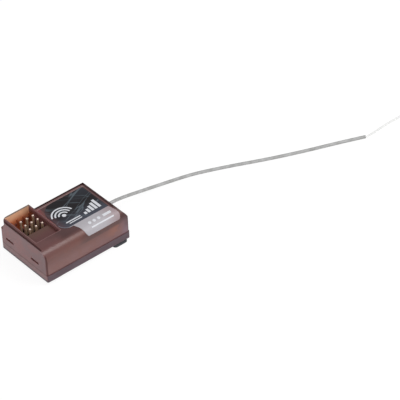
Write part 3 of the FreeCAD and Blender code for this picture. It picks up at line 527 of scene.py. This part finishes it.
# %% Antenna finishes
grey = Finish("cable_jacket")
marks = grey.noise(420, 3.0)
grey_finish = grey.finish(Base_Color=grey.blend(marks.above(0.5, 0.4), srgb("a4a4a3"), srgb("bababa")),
                          Roughness=marks * 0.2 + 0.35, Normal=grey.bump(grey.noise(5000), 0.1, 0.01))
cable.data.materials.append(grey_finish)
painted(grey_finish, "antenna_inner_lead")
core.data.materials.append(speckled("cable_core", "fbfbfa", "efefee", 500, 0.35, 0.2))
painted(speckled("grommet_rubber", "141414", "262626", 4200, 0.6, 0.2, detail=3.0, relief=(0.3, 0.02)),
        "antenna_grommet")
print("antenna finished")

# %% [markdown]
# ## Label
#
# The label is one film: a dark field behind, and a silver band that folds over the front edge. The dark
# field has faint blue streaks, and a painted highlight runs along the round corner where the band sweeps
# up into it. The film's cut edge shows as a thin brown line.

# %% Label film
PRINT_EDGE = 0.06
SWEEP_CENTRE = (-2.3, -3.7, 13.6)
SWEEP_RADIUS = 3.0

film = Finish("label_film", Specular_IOR_Level=0.3)
band = 1 - film.y.above(-6.75, PRINT_EDGE)
sheen = film.noise(90, 1.0, stretch=(3, 1, 1), turn=24).above(0.52, 0.2)
lines = film.noise(560, 1.0, stretch=(9, 1, 1), turn=24).within(0.57, 0.61, 0.03)
cross = film.noise(430, 1.0, stretch=(9, 1, 1), turn=-38).within(0.58, 0.61, 0.03)
near_band = 1 - film.y.above(-3, 7)
clear_end = 1 - film.x.above(-4, 3)
edge = film.y.above(7.15, PRINT_EDGE) + film.x.above(13.25, PRINT_EDGE) * (1 - band)
to_sweep = film.node("ShaderNodeVectorMath", {"operation": "DISTANCE"}, [film.place, SWEEP_CENTRE], output=1)
sweep_corner = (1 - film.x.above(SWEEP_CENTRE[0], 1)) * (1 - film.y.above(SWEEP_CENTRE[1], 1))
# painted highlight along the film's edge at the round corner
sweep_highlight = to_sweep.above(SWEEP_RADIUS, PRINT_EDGE) * sweep_corner
field = film.layers(
    srgb("140f14"), (near_band, 0.75, "4c4f5c"), (sheen, 0.35, "3b4350"), (lines, 0.45, "75838d"),
    (cross, 0.35, "6b7982"), (clear_end, 0.65, "5b4045"), (edge, 0.7, "3b2729"),
    (sweep_highlight, 0.7, "8c8f9c"))
silver = film.layers(srgb("bbb8bd"), (film.noise(900), 1.0, "b2adb3"), (film.x.above(10.5, 7), 0.8, "a38d90"))
label_finish = film.finish(Base_Color=film.blend(band, field, silver),
                           Roughness=film.noise(1500) * 0.15 + 0.28,
                           Normal=film.bump(film.noise(6000), 0.05, 0.01))
label = moulded("top_label", "label", label_finish, 0)
print("label faces", len(label.data.polygons))

# %% [markdown]
# Plain marks are printed on the film: radio waves, rising bars, straight lines and a row of dots. They are
# thin patches laid on the label. Behind the fold line the label is flat. In front of it, it
# follows the rounded edge, a circle of radius R. A point at a distance t in front of the fold line has
# y = fold - R sin(t / R) and z = top - R (1 - cos(t / R)), and a negative t stays on the flat part.

# %% Patches that follow the label
FOLD = -8.35 * MM
BEND = 4.12 * MM
FILM_TOP = 13.64 * MM
POINTS_ACROSS = 9
POINTS_ROUND = 33


def on_label(x, t):
    """Points on the label: y = fold - R sin(a), z = top - R (1 - cos(a)) with a = t / R, flat for t < 0."""
    angle = np.maximum(t, 0) / BEND
    y = FOLD - np.minimum(t, 0) - BEND * np.sin(angle)
    z = FILM_TOP - BEND * (1 - np.cos(angle))
    return np.stack([x, y, z], axis=-1)


def bar(x0, x1, t0, t1):
    """Rectangle from x0 to x1 along the label and t0 to t1 across it, in millimetres."""
    x, t = np.meshgrid(np.linspace(x0, x1, POINTS_ACROSS) * MM, np.linspace(t0, t1, POINTS_ACROSS) * MM,
                       indexing="ij")
    return on_label(x, t)


def ring(x, t, inner, outer, start=0, stop=360):
    """Ring sector round (x, t): x + r cos(a), t + r sin(a) for r from inner to outer."""
    turn, r = np.meshgrid(np.radians(np.linspace(start, stop, POINTS_ROUND)),
                          np.linspace(inner, outer, POINTS_ACROSS) * MM, indexing="ij")
    return on_label(x * MM + r * np.cos(turn), t * MM + r * np.sin(turn))


def patches(name, grids, finish):
    """One mesh of all the patches: each grid of n by m points gives (n - 1)(m - 1) faces."""
    verts = []
    faces = []
    for grid in grids:
        rows, columns = grid.shape[:2]
        index = np.arange(rows * columns).reshape(rows, columns) + sum(len(block) for block in verts)
        verts.append(grid.reshape(-1, 3))
        corners = [index[:-1, :-1], index[:-1, 1:], index[1:, 1:], index[1:, :-1]]
        faces.append(np.stack(corners, -1).reshape(-1, 4))
    mesh = bpy.data.meshes.new(name)
    mesh.from_pydata(np.vstack(verts).tolist(), [], np.vstack(faces).tolist())
    mesh.materials.append(finish)
    piece = add(name, mesh)
    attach(piece, "root")
    return piece


print("label folds", FOLD, "and bends by a radius of", BEND)

# %% [markdown]
# The waves are a dot and three arcs round it. The bars rise one by one, and the lines and dots lie in
# straight rows.

# %% Printed marks
WAVES_AT = (-0.6, -7.6)
ARC = (-165, -15)
ARC_THICK = 0.55
BAR_PITCH = 1.45
BAR_RISE = 0.85
DOT_PITCH = 1.9

waves = [ring(*WAVES_AT, 0, 0.75)] + [ring(*WAVES_AT, r, r + ARC_THICK, *ARC) for r in (1.5, 2.7, 3.9)]
steps = [bar(5.0 + n * BAR_PITCH, 6.0 + n * BAR_PITCH, -4.4 - n * BAR_RISE, -3.2) for n in range(5)]
rows = [bar(-2.6, 3.4, -4.2, -3.7), bar(-1.8, 3.4, -3.2, -2.8)]
dots = [ring(3.4 + n * DOT_PITCH, 1.0, 0, 0.6) for n in range(3)]
band_bars = [bar(9.0, 12.3, 0.5, 1.5), bar(3.0, 12.3, 2.6, 3.1)]
ink = speckled("white_print", "e9ebf0", "d2d4da", 3000, 0.4, 0.2, Specular_IOR_Level=0.3)
marks_piece = patches("label_marks", waves + steps + rows + dots + band_bars, ink)
print("marks faces", len(marks_piece.data.polygons))

# %% [markdown]
# ## Foam tape
#
# Two strips of black foam tape hold the receiver down. Foam has open cells, so it is matt and rough.

# %% Foam tape
painted(speckled("foam_tape", "2b2d30", "5a5c60", 3800, 0.8, 0.15, detail=3.0, relief=(0.8, 0.06),
                 Specular_IOR_Level=0.2),
        "foam_tape_antenna_end", "foam_tape_pin_end")
print("foam tape finished")

# %% [markdown]
# ## Floor and light
#
# The floor is white paper. What the camera sees of it, and what gloss and clear plastic show of it, is
# mostly its own white, so the background stays plain white and keeps a faint shadow.

# %% Floor
FLOOR_HALF = 2
LIT_PAPER = (0.8, 0.8, 0.8, 1)
SEEN_PAPER = (0.17, 0.17, 0.17, 1)

paper = Finish("pale_floor", Emission_Strength=0.87)
rays = paper.node("ShaderNodeLightPath").socket.node.outputs
seen = sum(Signal(paper, rays[kind]) for kind in ("Is Camera Ray", "Is Glossy Ray", "Is Transmission Ray"))
floor_finish = paper.finish(Base_Color=paper.blend(seen, LIT_PAPER, SEEN_PAPER),
                            Emission_Color=paper.blend(seen, BLACK, WHITE), Roughness=0.9)
corners = [(-FLOOR_HALF, -FLOOR_HALF, 0), (FLOOR_HALF, -FLOOR_HALF, 0), (FLOOR_HALF, FLOOR_HALF, 0),
           (-FLOOR_HALF, FLOOR_HALF, 0)]
floor_mesh = bpy.data.meshes.new("floor")
floor_mesh.from_pydata(corners, [], [(0, 1, 2, 3)])
floor_mesh.materials.append(floor_finish)
floor = add("floor", floor_mesh)
print("floor is", 2 * FLOOR_HALF, "m wide")

# %% [markdown]
# A room that is equally pale on all sides gives soft light without hard shadows. Two soft boxes stand in
# it: a large one to the front left, and a smaller one above the front right that draws the bright line
# along the rounded front edge. They are rectangles, like real ones, because a rounded edge shows the
# shape of what it reflects.

# %% Light
ROOM_LIGHT = 0.5

world = bpy.data.worlds.new("studio")
bpy.context.scene.world = world
world.use_nodes = True
room = world.node_tree.nodes["Background"]
room.inputs["Color"].default_value = WHITE
room.inputs["Strength"].default_value = ROOM_LIGHT


def softbox(name, place, size, power):
    """Square lamp of the given width in metres and power in watts that faces the housing."""
    data = bpy.data.lights.new(name, "AREA")
    data.shape = "RECTANGLE"
    data.size = data.size_y = size
    data.energy = power
    lamp = add(name, data)
    aim = (-Vector(place)).to_track_quat("-Z", "Y")
    lamp.matrix_world = Matrix.Translation(place) @ aim.to_matrix().to_4x4()


softbox("key", (-0.45, -0.7, 0.7), 0.6, 3.2)
softbox("edge", (0.30, -0.30, 0.53), 0.3, 1.3)
bpy.context.scene.view_settings.view_transform = "Standard"
print("lamps", [data.name for data in bpy.data.lights])
